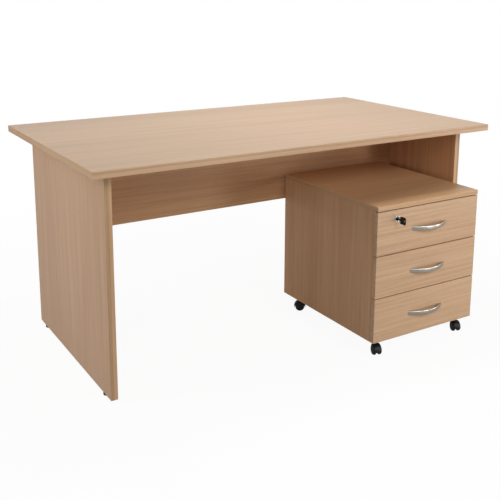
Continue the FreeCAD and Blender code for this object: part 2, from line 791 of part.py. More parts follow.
    # The box is one board folded round the two sides and the back, grooved for its bottom
    outer = block(
        name + "_box_outer",
        ("2 * box_half", "box_length", "box_height"),
        ("pedestal_middle - box_half", "front_rear", box_bottom),
    )
    inner = block(
        name + "_box_inner",
        (
            "2 * (box_half - box_wall)",
            "box_length - box_wall + cut_overrun",
            "box_height + 2 * cut_overrun",
        ),
        (
            "pedestal_middle - box_half + box_wall",
            "front_rear - cut_overrun",
            f"{box_bottom} - cut_overrun",
        ),
    )
    groove = block(
        name + "_box_groove",
        (
            "2 * (box_half - box_wall + groove_depth)",
            "box_length - box_wall + groove_depth + cut_overrun",
            "box_bottom_thick + 2 * fitting_clearance",
        ),
        (
            "pedestal_middle - box_half + box_wall - groove_depth",
            "front_rear - cut_overrun",
            f"{box_bottom} + box_bottom_rise - fitting_clearance",
        ),
    )
    hollow = cut(name + "_box_hollow", outer, [inner])
    grooved = cut(name + "_box_grooved", hollow, [groove])
    keep(cut(name + "_box", grooved, box_holes))
    keep(
        block(
            name + "_bottom",
            (
                "2 * (box_half - box_wall + groove_depth - fitting_clearance)",
                "box_length - box_wall + groove_depth - fitting_clearance",
                "box_bottom_thick",
            ),
            (
                "pedestal_middle - box_half + box_wall - groove_depth + fitting_clearance",
                "front_rear",
                f"{box_bottom} + box_bottom_rise",
            ),
        )
    )

    # The front covers the carcass edges, and the top one carries the lock
    face = block(
        name + "_face",
        ("pedestal_width", "drawer_front_thick", front_height),
        ("pedestal_left", "drawer_face", front_bottom),
    )
    if drawer == "top":
        lock_start = ("lock_x", "drawer_face", "lock_z")
        front_holes.append(
            hole_for("lock_hole", "y", "lock_barrel_radius", "drawer_front_thick", lock_start)
        )
    soft_face = rounded(name + "_soft_face", face, "front_round", all_round("-y"))
    keep(cut(name + "_front", soft_face, front_holes))
    keep(cut(name + "_handle", handle(name, front_middle), handle_holes))
    keep(group(name + "_screws", drawer_screws))
    keep(group(name + "_runners", drawer_rails))
    keep(group(name + "_rear_rollers", rear_rollers))
    keep(group(name + "_front_rollers", front_rollers))

# Cam lock in the top drawer's front, its keep under the pedestal's top, and its key

ring_start = ("lock_x", "drawer_face - lock_ring_thick", "lock_z")
barrel_start = ("lock_x", "drawer_face", "lock_z")
ring = rod("lock_ring", "y", "lock_ring_radius", "lock_ring_thick", ring_start)
tube = rod("lock_tube", "y", "lock_barrel_radius", "drawer_front_thick + lock_tail", barrel_start)
barrel_length = "lock_ring_thick + drawer_front_thick + lock_tail"
barrel_bore = rod("lock_bore", "y", "lock_plug_radius + running_clearance", barrel_length, ring_start)
keep(cut("lock_barrel", fuse("lock_shell", [ring, tube]), [barrel_bore]))

plug_core = rod("lock_plug_core", "y", "lock_plug_radius", barrel_length, ring_start)
spigot_start = ("lock_x", "lock_end", "lock_z")
spigot = rod("lock_plug_spigot", "y", "lock_spigot_radius", "tongue_thick", spigot_start)
key_slot = block(
    "lock_key_slot",
    (
        "key_blade_thick + 2 * fitting_clearance",
        "key_blade_depth + fitting_clearance + cut_overrun",
        "key_blade_width + 2 * fitting_clearance",
    ),
    (
        "lock_x - key_blade_thick / 2 - fitting_clearance",
        "drawer_face - lock_ring_thick - cut_overrun",
        "lock_z - key_blade_width / 2 - fitting_clearance",
    ),
)
keep(cut("lock_plug", fuse("lock_plug_whole", [plug_core, spigot]), [key_slot]))

tongue_arm = block(
    "lock_tongue_arm",
    ("tongue_reach", "tongue_thick", "tongue_width"),
    ("lock_x", "lock_end", "lock_z - tongue_width / 2"),
)
tongue_eye = rod("lock_tongue_eye", "y", "tongue_width / 2", "tongue_thick", spigot_start)
spigot_hole = hole_for("lock_tongue_hole", "y", "lock_spigot_radius", "tongue_thick", spigot_start)
keep(cut("lock_tongue", fuse("lock_tongue_whole", [tongue_arm, tongue_eye]), [spigot_hole]))

# The keep is an angle: its foot is screwed up to the top, its lip hangs between front and tongue
keep_profile = (
    ("0", "0"),
    ("keep_foot", "0"),
    ("keep_foot", "0 - keep_steel"),
    ("keep_steel", "0 - keep_steel"),
    ("keep_steel", "0 - keep_drop"),
    ("0", "0 - keep_drop"),
)
keep_angle = pressed("lock_keep_angle", "YZ_Plane", keep_profile, "keep_width")
place(keep_angle, "lock_x - keep_width / 2", "carcass_front", "top_underside")
keep_holes = []
for sign, side in sides:
    start = (
        f"lock_x + {sign} * keep_width / 4",
        "carcass_front + keep_foot - screw_head_radius - keep_steel",
        "top_underside - keep_steel",
    )
    fixing, pilot = screw(f"lock_keep_screw_{side}", "z", start, 1)
    carcass_screws.append(fixing)
    keep_holes.append(pilot)
top_holes += keep_holes
keep(cut("lock_keep", keep_angle, keep_holes))

blade = block(
    "key_blade",
    (
        "key_blade_thick",
        "key_reach - lock_ring_thick - key_bow_length / 2 + key_blade_depth",
        "key_blade_width",
    ),
    (
        "lock_x - key_blade_thick / 2",
        "drawer_face - key_reach + key_bow_length / 2",
        "lock_z - key_blade_width / 2",
    ),
)
bow_flat = block(
    "key_bow_flat",
    ("key_bow_thick", "key_bow_length", "key_bow_height"),
    ("lock_x - key_bow_thick / 2", "drawer_face - key_reach", "lock_z - key_bow_height / 2"),
)


def bow_corners(base, edge):
    first, last = edge.Vertexes[0].Point, edge.Vertexes[-1].Point
    return abs(first.y - last.y) + abs(first.z - last.z) < Part.Precision.approximation()


bow = rounded("key_bow", bow_flat, "key_bow_round", bow_corners)
ring_hole_y = "drawer_face - key_reach + 2 * key_bow_hole_radius"
ring_hole = rod(
    "key_ring_hole",
    "x",
    "key_bow_hole_radius",
    "key_bow_thick + 2 * cut_overrun",
    ("lock_x - key_bow_thick / 2 - cut_overrun", ring_hole_y, "lock_z"),
)
keep(cut("key", fuse("key_whole", [blade, bow]), [ring_hole]))

# Castors: a plate screwed under the base, a hood that swivels on it, and a pair of wheels on an axle

wheel_profile = (
    ("castor_axle_radius + running_clearance", "wheel_space / 2"),
    ("wheel_radius - wheel_chamfer", "wheel_space / 2"),
    ("wheel_radius", "wheel_space / 2 + wheel_chamfer"),
    ("wheel_radius", "wheel_space / 2 + wheel_width"),
    ("castor_axle_radius + running_clearance", "wheel_space / 2 + wheel_width"),
)
castor_plates = []

castor_places = {}
for end, y in (
    ("front", "drawer_face + castor_inset_front"),
    ("back", "pedestal_rear - castor_inset_back"),
):
    castor_places[end + "_left"] = ("pedestal_left + castor_inset_side", y)
    castor_places[end + "_right"] = ("pedestal_right - castor_inset_side", y)


def swivelled(thing, corner):
    """Turns a castor piece, made about the origin, and stands it under its corner of the pedestal."""
    x, y = castor_places[corner]
    thing.Placement.Rotation = FreeCAD.Rotation(FreeCAD.Vector(0, 0, 1), castor_turns[corner])
    return place(thing, x, y, "0")


def soften_rim(wheel):
    """Rounds the outer rim of a turned wheel."""
    doc.recompute()
    turning = wheel.Tip
    top = turning.Shape.BoundBox.ZMax
    fillet = wheel.newObject("PartDesign::Fillet", wheel.Name + "_rim")
    rims = [
        f"Edge{i}"
        for i, edge in enumerate(turning.Shape.Edges, 1)
        if len(edge.Vertexes) == 1
        and abs(edge.Vertexes[0].Z - top) < Part.Precision.approximation()
        and edge.Curve.Radius > number("wheel_radius") / 2
    ]
    fillet.Base = (turning, rims)
    bind(fillet, Radius="wheel_round")


for corner, (x, y) in castor_places.items():
    name = "castor_" + corner
    hub = ("0 - castor_trail", "wheel_radius")

    # The hood: a half-round shell over the wheels, a web between them, a boss and a stem on top
    shell = rod(name + "_shell", "x", "hood_outer", "hood_width", ("0 - hood_width / 2", *hub), 180)
    boss_start = ("0", "0", "wheel_radius")
    boss = rod(name + "_boss", "z", "swivel_boss_radius", "hood_top - wheel_radius", boss_start)
    solid_hood = fuse(name + "_solid_hood", [shell, boss])
    room_start = ("0 - hood_width / 2 - cut_overrun", *hub)
    room = rod(name + "_room", "x", "hood_inner", "hood_width + 2 * cut_overrun", room_start)
    open_hood = cut(name + "_open_hood", solid_hood, [room])
    web_x = "0 - hood_web_thick / 2"
    web = rod(name + "_web", "x", "hood_inner + hood_wall / 2", "hood_web_thick", (web_x, *hub), 180)
    tab = block(
        name + "_tab",
        ("hood_web_thick", "wheel_radius", "wheel_radius - hood_web_rise"),
        (web_x, "0 - castor_trail - wheel_radius / 2", "hood_web_rise"),
    )
    stem = rod(
        name + "_stem", "z", "swivel_stem_radius", "swivel_gap + swivel_stem_length", ("0", "0", "hood_top")
    )
    whole_hood = fuse(name + "_whole_hood", [open_hood, web, tab, stem])
    axle_bore = rod(
        name + "_axle_bore",
        "x",
        "castor_axle_radius + running_clearance",
        "hood_web_thick + 2 * cut_overrun",
        ("0 - hood_web_thick / 2 - cut_overrun", *hub),
    )
    keep(swivelled(cut(name + "_hood", whole_hood, [axle_bore]), corner))

    # The wheels and the axle that carries them
    axle_length = "castor_width - 2 * axle_recess"
    axle_start = ("axle_recess - castor_width / 2", *hub)
    axle = rod(name + "_axle", "x", "castor_axle_radius", axle_length, axle_start)
    wheels = []
    for sign, side in sides:
        wheel = turned(f"{name}_wheel_{side}", wheel_profile)
        soften_rim(wheel)
        wheel.Placement.Rotation = FreeCAD.Rotation(FreeCAD.Vector(0, 1, 0), sign * 90)
        wheels.append(place(wheel, "0", *hub))
    keep(swivelled(group(name + "_wheels", [*wheels, axle]), corner))

    # The plate: a square with a bored boss for the stem, held by four screws
    flat = block(
        name + "_flat",
        ("castor_plate_size", "castor_plate_size", "castor_plate_thick"),
        (f"{x} - castor_plate_size / 2", f"{y} - castor_plate_size / 2", "plate_bottom"),
    )
    cup_start = (x, y, "plate_bottom - plate_boss_height")
    cup = rod(name + "_cup", "z", "plate_boss_radius", "plate_boss_height", cup_start)
    stem_room_radius = "swivel_stem_radius + running_clearance"
    stem_room = rod(name + "_stem_room", "z", stem_room_radius, "plate_boss_height", cup_start)
    plate_holes = []
    screw_offset = "(castor_plate_size / 2 - plate_screw_inset)"
    for i, (dx, dy) in enumerate(((-1, -1), (1, -1), (-1, 1), (1, 1))):
        start = (f"{x} + {dx} * {screw_offset}", f"{y} + {dy} * {screw_offset}", "plate_bottom")
        fixing, pilot = screw(f"{name}_plate_screw_{i}", "z", start, 1)
        carcass_screws.append(fixing)
        plate_holes.append(pilot)
    base_holes += plate_holes
    solid_plate = fuse(name + "_solid_plate", [flat, cup])
    castor_plates.append(cut(name + "_plate", solid_plate, [stem_room, *plate_holes]))

keep(group("castor_plates", castor_plates))

# Pedestal boards

top_core = block(
    "pedestal_top_core",
    ("pedestal_width - 2 * carcass_edging", "pedestal_depth - 2 * carcass_edging", "carcass_thick"),
    ("pedestal_left + carcass_edging", "drawer_face + carcass_edging", "top_underside"),
)
keep(cut("pedestal_top", top_core, top_holes))

for sign, side in sides:
    side_x = "pedestal_left" if sign < 0 else "pedestal_right - carcass_thick"
    core = block(
        f"pedestal_{side}_core",
        (
            "carcass_thick",
            "pedestal_rear - carcass_front - carcass_edging",
            "top_underside - pedestal_lift",
        ),
        (side_x, "carcass_front + carcass_edging", "pedestal_lift"),
    )
    keep(cut(f"pedestal_{side}_side", core, side_holes[side]))

base_core = block(
    "pedestal_base_core",
    (
        "2 * carcass_half",
        "pedestal_rear - carcass_thick - carcass_front - carcass_edging",
        "carcass_thick",
    ),
    ("pedestal_middle - carcass_half", "carcass_front + carcass_edging", "pedestal_lift"),
)
keep(cut("pedestal_base", base_core, base_holes))

back_core = block(
    "pedestal_back_core",
    ("2 * carcass_half", "carcass_thick", "top_underside - pedestal_lift"),
    ("pedestal_middle - carcass_half", "pedestal_rear - carcass_thick", "pedestal_lift"),
)
keep(cut("pedestal_back", back_core, back_holes))

carcass_strips = []
for side, y in (("-y", "drawer_face"), ("+y", "pedestal_rear - carcass_edging")):
    size = ("pedestal_width", "carcass_edging", "carcass_thick")
    name = "top_strip_front" if side == "-y" else "top_strip_back"
    corner = ("pedestal_left", y, "top_underside")
    carcass_strips.append(strip(name, size, corner, "carcass_round", side, "x"))
for side, x in (("-x", "pedestal_left"), ("+x", "pedestal_right - carcass_edging")):
    size = ("carcass_edging", "pedestal_depth - 2 * carcass_edging", "carcass_thick")
    name = "top_strip_left" if side == "-x" else "top_strip_right"
    corner = (x, "drawer_face + carcass_edging", "top_underside")
    carcass_strips.append(strip(name, size, corner, "carcass_round", side, "y"))
for sign, side in sides:
    x = "pedestal_left" if sign < 0 else "pedestal_right - carcass_thick"
    size = ("carcass_thick", "carcass_edging", "top_underside - pedestal_lift")
    corner = (x, "carcass_front", "pedestal_lift")
    carcass_strips.append(strip(f"side_strip_{side}", size, corner, "carcass_round", "-y", "z"))
base_strip_size = ("2 * carcass_half", "carcass_edging", "carcass_thick")
base_strip_corner = ("pedestal_middle - carcass_half", "carcass_front", "pedestal_lift")
carcass_strips.append(block("base_strip", base_strip_size, base_strip_corner))

keep(group("pedestal_edging", carcass_strips))
keep(group("pedestal_dowels", carcass_dowels))
keep(group("cabinet_runners", cabinet_runners))
keep(group("carcass_screws", carcass_screws))

# Every object has to be sound before anything is written

doc.recompute()
for thing in doc.Objects:
    if "Invalid" in thing.State or "Error" in thing.State:
        raise RuntimeError(f"{thing.Label} failed: {thing.State}")
for piece in pieces:
    if piece.Shape.isNull() or not piece.Shape.isValid() or not piece.Shape.Solids:
        raise RuntimeError(f"{piece.Label} has no sound shape")

os.makedirs("parts", exist_ok=True)
for piece in pieces:
    piece.Shape.exportStep(f"parts/{piece.Label}.step")
print(len(pieces), "pieces,", sum(len(piece.Shape.Solids) for piece in pieces), "solids")
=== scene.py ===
import json
import math

import bmesh
import bpy
import numpy as np
from mathutils import Matrix, Vector


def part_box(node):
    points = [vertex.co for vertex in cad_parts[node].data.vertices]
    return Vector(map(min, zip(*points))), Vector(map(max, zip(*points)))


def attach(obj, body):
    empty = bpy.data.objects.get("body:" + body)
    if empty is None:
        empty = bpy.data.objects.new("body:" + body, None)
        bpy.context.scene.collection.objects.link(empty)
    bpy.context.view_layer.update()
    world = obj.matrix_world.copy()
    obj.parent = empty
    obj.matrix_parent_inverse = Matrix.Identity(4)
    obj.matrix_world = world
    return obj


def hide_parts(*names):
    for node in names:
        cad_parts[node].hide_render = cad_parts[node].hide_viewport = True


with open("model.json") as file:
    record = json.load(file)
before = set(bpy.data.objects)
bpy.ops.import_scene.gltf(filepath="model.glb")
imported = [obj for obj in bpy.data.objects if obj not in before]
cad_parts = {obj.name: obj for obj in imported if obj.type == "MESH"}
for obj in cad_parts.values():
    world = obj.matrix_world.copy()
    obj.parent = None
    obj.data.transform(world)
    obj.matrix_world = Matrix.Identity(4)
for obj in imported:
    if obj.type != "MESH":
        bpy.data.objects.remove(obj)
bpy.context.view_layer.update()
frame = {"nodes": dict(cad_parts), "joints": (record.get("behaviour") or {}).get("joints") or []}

nodes = frame["nodes"]
joints = {joint["name"]: joint for joint in frame["joints"]}


# node helpers for the finishes

noiseSpan = (0.3, 0.7)  # where most of a noise's values lie


def newFinish(name):
    finish = bpy.data.materials.new(name)
    finish.use_nodes = True
    return finish, finish.node_tree, finish.node_tree.nodes["Principled BSDF"]


def addNode(tree, kind, values=None, **settings):
    node = tree.nodes.new(kind)
    for setting, value in settings.items():
        setattr(node, setting, value)
    for socket, value in (values or {}).items():
        node.inputs[socket].default_value = value
    return node


def feed(tree, sockets, values):
    # a plain value is set on its socket, and another node's output is linked to it
    for socket, value in zip(sockets, values):
        if isinstance(value, (int, float, tuple)):
            socket.default_value = value
        else:
            tree.links.new(value, socket)


def mathNode(tree, operation, first, second=0.0):
    node = addNode(tree, "ShaderNodeMath", operation=operation)
    feed(tree, node.inputs, (first, second))
    return node.outputs[0]


def mixColour(tree, blend, factor, first, second):
    node = addNode(tree, "ShaderNodeMix", data_type="RGBA", blend_type=blend)
    feed(tree, (node.inputs[0], node.inputs[6], node.inputs[7]), (factor, first, second))
    return node.outputs[2]


def objectPlace(tree):
    return addNode(tree, "ShaderNodeTexCoord").outputs["Object"]


def grainNoise(tree, place, along, across, detail, roughness=0.5):
    # noise with its own number of waves a metre along the first axis and across it
    mapping = addNode(tree, "ShaderNodeMapping", {"Scale": (along, across, across)})
    tree.links.new(place, mapping.inputs["Vector"])
    noise = addNode(tree, "ShaderNodeTexNoise", {"Scale": 1.0, "Detail": detail, "Roughness": roughness})
    tree.links.new(mapping.outputs["Vector"], noise.inputs["Vector"])
    return noise.outputs["Fac"]


def ramp(tree, factor, stops):
    node = addNode(tree, "ShaderNodeValToRGB")
    elements = node.color_ramp.elements
    for element, (position, colour) in zip(elements, (stops[0], stops[-1])):
        element.position = position
        element.color = (*colour, 1)
    for position, colour in stops[1:-1]:
        element = elements.new(position)
        element.color = (*colour, 1)
    tree.links.new(factor, node.inputs["Fac"])
    return node.outputs["Color"]


def spanRamp(tree, factor, span, low, high):
    return ramp(tree, factor, [(span[0], low), (span[1], high)])


def setColour(tree, shader, noise, low, high):
    tree.links.new(spanRamp(tree, noise, noiseSpan, low, high), shader.inputs["Base Color"])


def setGloss(tree, shader, noise, gloss, swing):
    # roughness that drifts with the noise, half the swing to each side
    rough = mathNode(tree, "ADD", mathNode(tree, "MULTIPLY", noise, swing), gloss - swing / 2)
    tree.links.new(rough, shader.inputs["Roughness"])


def addBump(tree, shader, height, strength, depth):
    bump = addNode(tree, "ShaderNodeBump", {"Strength": strength, "Distance": depth})
    tree.links.new(height, bump.inputs["Height"])
    tree.links.new(bump.outputs["Normal"], shader.inputs["Normal"])


def toned(colour, share):
    return tuple(min(1.0, share * value) for value in colour)


# beech-effect melamine: fine straight grain, short dark flecks, slow drifts of tone
# each noise is waves a metre along and across the grain, detail and roughness

beech = {
    "light": (0.655, 0.440, 0.266),
    "dark": (0.490, 0.300, 0.168),
    "drift": (0.6, 6.0, 2),
    "streak": (1.6, 110.0, 5, 0.66),
    "hair": (9.0, 720.0, 2),
    "fleck": (75.0, 620.0, 1),
    "driftShare": 0.24,
    "streakShare": 0.60,
    "hairShare": 0.16,
    "figureSpan": (0.36, 0.64),
    "fleckSpan": (0.60, 0.70),
    "fleckDepth": 0.18,
    "fleckTone": 0.55,
    "glossSwing": 0.12,
    "bump": (0.10, 0.00012),
}


def turnedPlace(tree, grain, level):
    # coordinates whose first axis runs along the grain; a strip's grain runs along the strip
    parts = addNode(tree, "ShaderNodeSeparateXYZ")
    tree.links.new(objectPlace(tree), parts.inputs[0])
    x, y, z = parts.outputs
    order = {"x": (x, y, z), "z": (z, x, y)}
    if grain in order:
        first, second, third = order[grain]
    else:
        lying = mathNode(tree, "GREATER_THAN", z, level)  # strips above this height lie flat
        sideways = mathNode(tree, "ADD", x, y)
        swap = mathNode(tree, "MULTIPLY", lying, mathNode(tree, "SUBTRACT", z, sideways))
        first = mathNode(tree, "SUBTRACT", z, swap)
        second = mathNode(tree, "ADD", sideways, swap)
        third = lying
    turned = addNode(tree, "ShaderNodeCombineXYZ")
    feed(tree, turned.inputs, (first, second, third))
    return turned.outputs[0], parts


def spanShade(tree, source, low, high, stops):
    # a tone that changes across a span, from the low end to the high end
    reach = addNode(tree, "ShaderNodeMapRange", {"From Min": low, "From Max": high})
    tree.links.new(source, reach.inputs["Value"])
    return ramp(tree, reach.outputs["Result"], [(at, (tone, tone, tone)) for at, tone in stops])


def edgingShade(tree, parts, level, edgeShading):
    # painted shade on the edging: of the strips that lie flat only the front one has a darker band, partly a
    # dark joint line and partly painted shade of the rounded arris; upright ones have painted shade on their
    # outer half
    x, y, z = parts.outputs
    front = mathNode(tree, "LESS_THAN", y, edgeShading["frontLimit"])
    flat = mixColour(tree, "MIX", front, (1, 1, 1, 1), spanShade(tree, z, *edgeShading["flat"]))
    # painted light: the lying strips are tinted paler than the upright ones, which sit in the overhang's
    # shade
    flat = mixColour(tree, "MULTIPLY", 1.0, flat, (*edgeShading["flatLitTint"], 1))
    upright = spanShade(tree, mathNode(tree, "ABSOLUTE", x), *edgeShading["upright"])
    lying = mathNode(tree, "GREATER_THAN", z, level)
    return mixColour(tree, "MIX", lying, upright, flat)


def beechFinish(name, grain, tint=(1, 1, 1), gloss=0.36, reflection=0.12, level=0.0, edgeShading=None):
    finish, tree, shader = newFinish(name)
    along, parts = turnedPlace(tree, grain, level)
    drift = grainNoise(tree, along, *beech["drift"])
    streak = grainNoise(tree, along, *beech["streak"])
    hair = grainNoise(tree, along, *beech["hair"])
    fleck = grainNoise(tree, along, *beech["fleck"])
    figure = mathNode(tree, "MULTIPLY", streak, beech["streakShare"])
    figure = mathNode(tree, "ADD", figure, mathNode(tree, "MULTIPLY", drift, beech["driftShare"]))
    figure = mathNode(tree, "ADD", figure, mathNode(tree, "MULTIPLY", hair, beech["hairShare"]))
    dark = tuple(value * part for value, part in zip(beech["dark"], tint))
    light = tuple(value * part for value, part in zip(beech["light"], tint))
    ground = spanRamp(tree, figure, beech["figureSpan"], dark, light)
    spots = spanRamp(tree, fleck, beech["fleckSpan"], (0, 0, 0), (1, 1, 1))
    share = mathNode(tree, "MULTIPLY", spots, beech["fleckDepth"])
    colour = mixColour(tree, "MIX", share, ground, (*toned(dark, beech["fleckTone"]), 1))
    # painted shade bands across the edging strips darken the colour here
    if edgeShading:
        colour = mixColour(tree, "MULTIPLY", 1.0, colour, edgingShade(tree, parts, level, edgeShading))
    tree.links.new(colour, shader.inputs["Base Color"])
    setGloss(tree, shader, streak, gloss, beech["glossSwing"])
    shader.inputs["Specular IOR Level"].default_value = reflection
    addBump(tree, shader, mathNode(tree, "ADD", hair, streak), *beech["bump"])
    return finish


# moulded plastic: a faint mottle in colour and gloss, and a fine orange-peel bump

plastic = {
    "mottle": (60.0, 60.0, 3),
    "skin": (900.0, 900.0, 2),
    "tones": (0.82, 1.18),
    "glossSwing": 0.16,
    "bump": (0.12, 0.0002),
}


def plasticFinish(name, colour, gloss, reflection=0.5):
    finish, tree, shader = newFinish(name)
    place = objectPlace(tree)
    mottle = grainNoise(tree, place, *plastic["mottle"])
    skin = grainNoise(tree, place, *plastic["skin"])
    low, high = (toned(colour, share) for share in plastic["tones"])
    setColour(tree, shader, mottle, low, high)
    setGloss(tree, shader, mottle, gloss, plastic["glossSwing"])
    shader.inputs["Specular IOR Level"].default_value = reflection
    addBump(tree, shader, skin, *plastic["bump"])
    return finish


# plated or brushed metal: an even haze, or fine lines along x where it is brushed

metal = {
    "haze": (300.0, 300.0, 3),
    "brushed": (30.0, 1500.0, 3),
    "cloud": (45.0, 45.0, 3),
    "lowTone": 0.90,
    "glossSwing": 0.14,
    "bump": (0.03, 0.0001),
}


def metalFinish(name, colour, gloss, skin="haze"):
    finish, tree, shader = newFinish(name)
    place = objectPlace(tree)
    haze = grainNoise(tree, place, *metal[skin])
    cloud = grainNoise(tree, place, *metal["cloud"])
    setColour(tree, shader, haze, toned(colour, metal["lowTone"]), colour)
    setGloss(tree, shader, cloud, gloss, metal["glossSwing"])
    shader.inputs["Metallic"].default_value = 1.0
    addBump(tree, shader, haze, *metal["bump"])
    return finish


# plain boards inside the drawers, and coated runners: a faint mottle

lacquer = {
    "mottle": (40.0, 40.0, 4),
    "tooth": (700.0, 700.0, 2),
    "lowTone": 0.93,
    "glossSwing": 0.10,
    "bump": (0.10, 0.0001),
}


def lacquerFinish(name, colour, gloss):
    finish, tree, shader = newFinish(name)
    place = objectPlace(tree)
    mottle = grainNoise(tree, place, *lacquer["mottle"])
    tooth = grainNoise(tree, place, *lacquer["tooth"])
    setColour(tree, shader, mottle, toned(colour, lacquer["lowTone"]), colour)
    setGloss(tree, shader, tooth, gloss, lacquer["glossSwing"])
    addBump(tree, shader, tooth, *lacquer["bump"])
    return finish


# painted shade on the edging: a darker band along the worktop's front edging, partly a dark joint line and
# partly painted shade of its rounded arris, and painted shade down the outer half of the end panels' edging
# for their rounded profile; each band is the low and high end of its span, then places across the span with
# their tones

bandShading = {
    "frontLimit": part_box("worktop")[0].y + 0.0005,
    # painted light tint for the lying strips
    "flatLitTint": (1.0, 1.03, 1.08),
    "flat": (0.703, 0.725, [(0.0, 1.0), (0.52, 1.0), (0.62, 0.84), (0.80, 0.86), (0.90, 1.0)]),
    "upright": (0.668, 0.690, [(0.0, 1.0), (0.45, 0.98), (0.58, 0.76), (1.0, 0.82)]),
}
levels = {"desk": 0.7025, "pedestal": 0.5065}  # above these heights the edging lies flat

finishes = {
    "worktop": beechFinish("beechWorktop", "x", reflection=0.30),
    # painted light: the bluer tints of these two copies pale the drawer fronts, pedestal base, left end
    # panel and pedestal back
    "board": beechFinish("beechBoard", "x", tint=(1.0, 1.0, 1.05)),
    "panel": beechFinish("beechPanel", "z", tint=(1.03, 1.02, 1.10)),
    # painted shade: the tints of these four copies make the pedestal sides, modesty panel, pedestal top and
    # far end panel redder and darker
    "side": beechFinish("beechSideShaded", "z", tint=(1.06, 0.98, 0.97)),
    "modesty": beechFinish("beechModestyShaded", "x", tint=(1.0, 0.88, 0.80)),
    "top": beechFinish("beechTopShaded", "x", tint=(1.05, 0.95, 0.85)),
    "farPanelShaded": beechFinish("beechFarPanelShaded", "z", tint=(1.02, 0.88, 0.79)),
    # the desk edging's tint darkens it a little as painted shade of the upright strips; the lying strips are
    # lifted again as painted light
    "deskBand": beechFinish(
        "beechDeskBand", "strip", tint=(1.01, 0.98, 0.96), level=levels["desk"], edgeShading=bandShading),
    "pedestalBand": beechFinish(
        "beechPedestalBand", "strip", tint=(0.98, 0.95, 0.90), level=levels["pedestal"]),
    "dowel": beechFinish("beechDowel", "x", tint=(0.95, 0.93, 0.88), gloss=0.6),
    "box": lacquerFinish("drawerBoxGrey", (0.62, 0.60, 0.56), 0.45),
    "hardboard": lacquerFinish("drawerFloorWhite", (0.74, 0.73, 0.70), 0.40),
    "epoxy": lacquerFinish("runnerEpoxy", (0.72, 0.72, 0.70), 0.35),
    "nylon": plasticFinish("rollerNylon", (0.66, 0.65, 0.62), 0.45),
    "black": plasticFinish("mouldedBlack", (0.006, 0.006, 0.007), 0.46, reflection=0.25),
    "wheel": plasticFinish("wheelBlack", (0.007, 0.007, 0.008), 0.46, reflection=0.25),
    "bow": plasticFinish("keyBowBlack", (0.006, 0.006, 0.006), 0.40, reflection=0.2),
    "nickel": metalFinish("satinNickel", (0.45, 0.41, 0.355), 0.30, "brushed"),
    "chrome": metalFinish("brightChrome", (0.46, 0.45, 0.44), 0.16),
    "zinc": metalFinish("zincPlate", (0.62, 0.63, 0.65), 0.32),
    # steel darkened as painted shade, for the lock plug and the key blade
    "steelDarkForShade": metalFinish("steelDarkForShade", (0.10, 0.095, 0.09), 0.30),
}

# which finish each solid takes; one that is remade below would show it if its remake were taken out

nodeFinish = {
    "worktop": "worktop",
    "modesty_panel": "modesty",
    "left_end_panel": "panel",
    "right_end_panel": "farPanelShaded",
    "desk_edging": "deskBand",
    "pedestal_top": "top",
    "pedestal_left_side": "side",
    "pedestal_right_side": "side",
    "pedestal_base": "board",
    "pedestal_back": "panel",
    "pedestal_edging": "pedestalBand",
    "desk_dowels": "dowel",
    "pedestal_dowels": "dowel",
    "cabinet_runners": "epoxy",
    "lock_barrel": "chrome",
    # the plug is steel darkened as painted shade under the key bow
    "lock_plug": "steelDarkForShade",
}
endings = {
    "_front": "board",
    "_box": "box",
    "_bottom": "hardboard",
    "_runners": "epoxy",
    "_rollers": "nylon",
    "_handle": "nickel",
    "_wheels": "wheel",
    "_hood": "black",
}


def finishFor(node):
    if node in nodeFinish:
        return nodeFinish[node]
    for ending, finish in endings.items():
        if node.endswith(ending):
            return finish
    return "black" if node.startswith("levelling_foot") else "zinc"


for name, node in nodes.items():
    node.data.materials.clear()
    node.data.materials.append(finishes[finishFor(name)])
print("finishes given to", len(nodes), "nodes")


# surfaces on grids: rows of points, joined into quads, with flat ends where the rows stay open

mend = {"weld": 1e-6, "sharpDegrees": 38}
upAxis = np.array((0, 0, 1.0))


def gridFaces(rows, columns, closeRows):
    # quads between neighbouring rows; columns always close on themselves
    index = np.arange(rows * columns).reshape(rows, columns)
    if closeRows:
        index = np.concatenate([index, index[:1]])
    right = np.roll(index, -1, axis=1)
    quads = np.stack([index[:-1], right[:-1], right[1:], index[1:]], axis=-1)
    return quads.reshape(-1, 4)


def addPiece(name, shells, finish, body, replaced=()):
    # shells are (points of shape rows x columns x 3, whether the rows close on themselves)
    places, faces, count = [], [], 0
    for points, closeRows in shells:
        rows, columns = points.shape[:2]
        places.append(points.reshape(-1, 3))
        faces += (gridFaces(rows, columns, closeRows) + count).tolist()
        if not closeRows:
            faces.append(list(range(count, count + columns))[::-1])
            faces.append(list(range(count + (rows - 1) * columns, count + rows * columns)))
        count += rows * columns
    mesh = bpy.data.meshes.new(name)
    mesh.from_pydata(np.concatenate(places).tolist(), [], faces)
    work = bmesh.new()
    work.from_mesh(mesh)
    bmesh.ops.remove_doubles(work, verts=work.verts, dist=mend["weld"])
    bmesh.ops.dissolve_degenerate(work, edges=work.edges, dist=mend["weld"])
    bmesh.ops.recalc_face_normals(work, faces=work.faces)
    work.to_mesh(mesh)
    work.free()
    mesh.shade_smooth()
    mesh.set_sharp_from_angle(angle=math.radians(mend["sharpDegrees"]))
    mesh.materials.append(finishes[finish])
    piece = bpy.data.objects.new(name, mesh)
    bpy.context.scene.collection.objects.link(piece)
    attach(piece, body)
    if replaced:
        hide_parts(*replaced)


def fullTurn(count):
    return np.linspace(0, 2 * np.pi, count, endpoint=False)


def bulge(wave, power):
    # a wave raised to a power with its sign kept; a low power squares it off
    return np.sign(wave) * np.abs(wave) ** power


